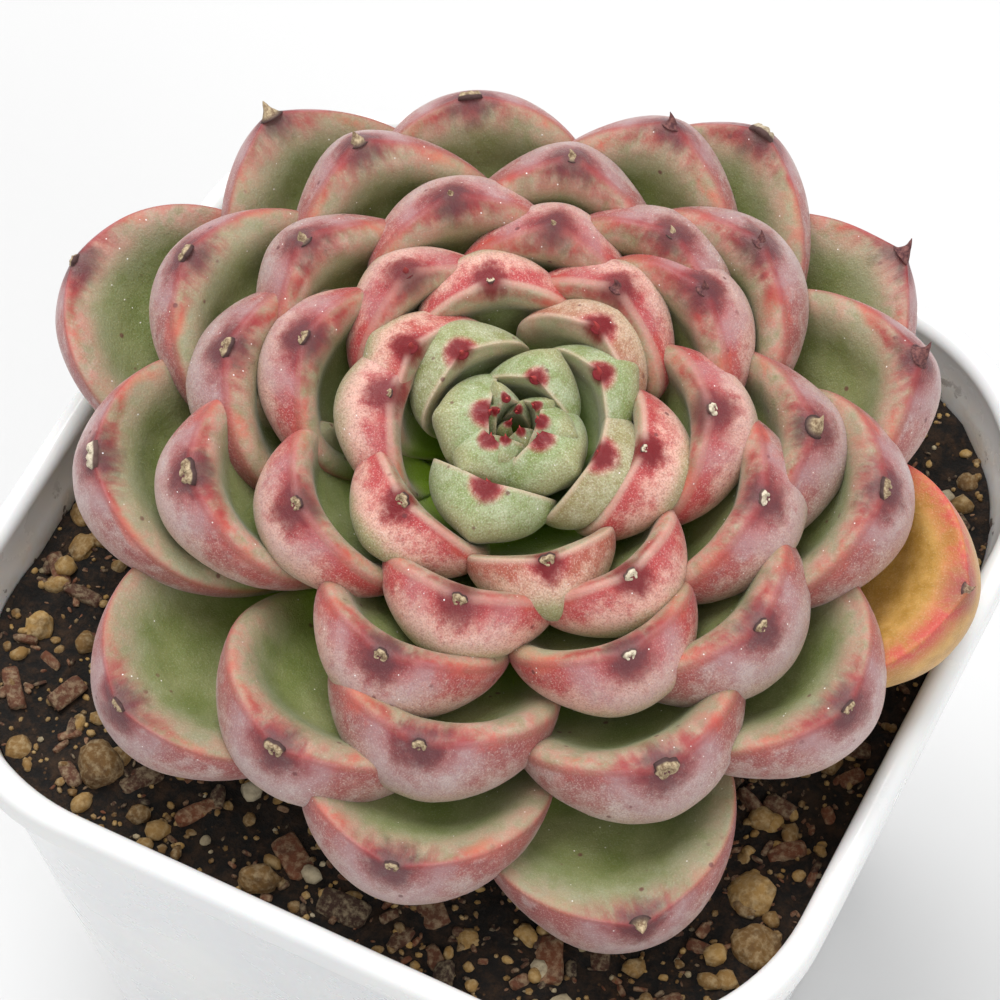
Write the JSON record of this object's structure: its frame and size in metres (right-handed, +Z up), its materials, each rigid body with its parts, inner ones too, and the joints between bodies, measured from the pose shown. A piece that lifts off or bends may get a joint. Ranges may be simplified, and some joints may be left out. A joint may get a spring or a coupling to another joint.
{
  "type": "potted succulent",
  "caption": "Rosette succulent with thick cupped green and rose-red leaves on a short stem, in soil in a square white nursery pot.",
  "frame": {"origin": "centre of the pot's flat underside", "axes": "+Z up, +X and +Y along the pot's square sides; the rosette leans towards +X -Y"},
  "size_m": [0.0924, 0.09, 0.1084],
  "materials": {
    "pot": "smooth glossy white moulded plastic",
    "soil": "rough dark peat with ochre and tan clay granules",
    "stem": "dull green-brown plant stem",
    "leaf_young": "waxy mint green with a crimson tip",
    "leaf_grown": "waxy bloom over rose-red and grey-green"
  },
  "bodies": {
    "root": {"leaf_00": "leaf_young", "leaf_01": "leaf_young", "leaf_02": "leaf_young", "leaf_03": "leaf_young", "leaf_04": "leaf_young", "leaf_05": "leaf_young", "leaf_06": "leaf_young", "leaf_07": "leaf_young", "leaf_08": "leaf_young", "leaf_09": "leaf_young", "leaf_11": "leaf_young", "leaf_12": "leaf_grown", "leaf_13": "leaf_grown", "leaf_14": "leaf_grown", "leaf_15": "leaf_grown", "leaf_16": "leaf_grown", "leaf_17": "leaf_grown", "leaf_18": "leaf_grown", "leaf_19": "leaf_grown", "leaf_20": "leaf_grown", "leaf_21": "leaf_grown", "leaf_22": "leaf_grown", "leaf_23": "leaf_grown", "leaf_24": "leaf_grown", "leaf_25": "leaf_grown", "leaf_26": "leaf_grown", "leaf_27": "leaf_grown", "leaf_28": "leaf_grown", "leaf_29": "leaf_grown", "leaf_30": "leaf_grown", "leaf_31": "leaf_grown", "leaf_32": "leaf_grown", "leaf_34": "leaf_grown", "leaf_35": "leaf_grown", "leaf_37": "leaf_grown", "leaf_38": "leaf_grown", "leaf_39": "leaf_grown", "leaf_40": "leaf_grown", "leaf_41": "leaf_grown", "leaf_42": "leaf_grown", "leaf_43": "leaf_grown", "leaf_45": "leaf_grown", "leaf_46": "leaf_grown", "leaf_47": "leaf_grown", "leaf_48": "leaf_grown", "leaf_49": "leaf_grown", "leaf_50": "leaf_grown", "leaf_51": "leaf_grown", "leaf_52": "leaf_grown", "leaf_53": "leaf_grown", "leaf_54": "leaf_grown", "leaf_55": "leaf_grown", "leaf_56": "leaf_grown", "leaf_57": "leaf_grown", "leaf_59": "leaf_grown", "leaf_60": "leaf_grown", "leaf_61": "leaf_grown", "pot": "pot", "soil": "soil", "stem": "stem"}
  },
  "joints": []
}
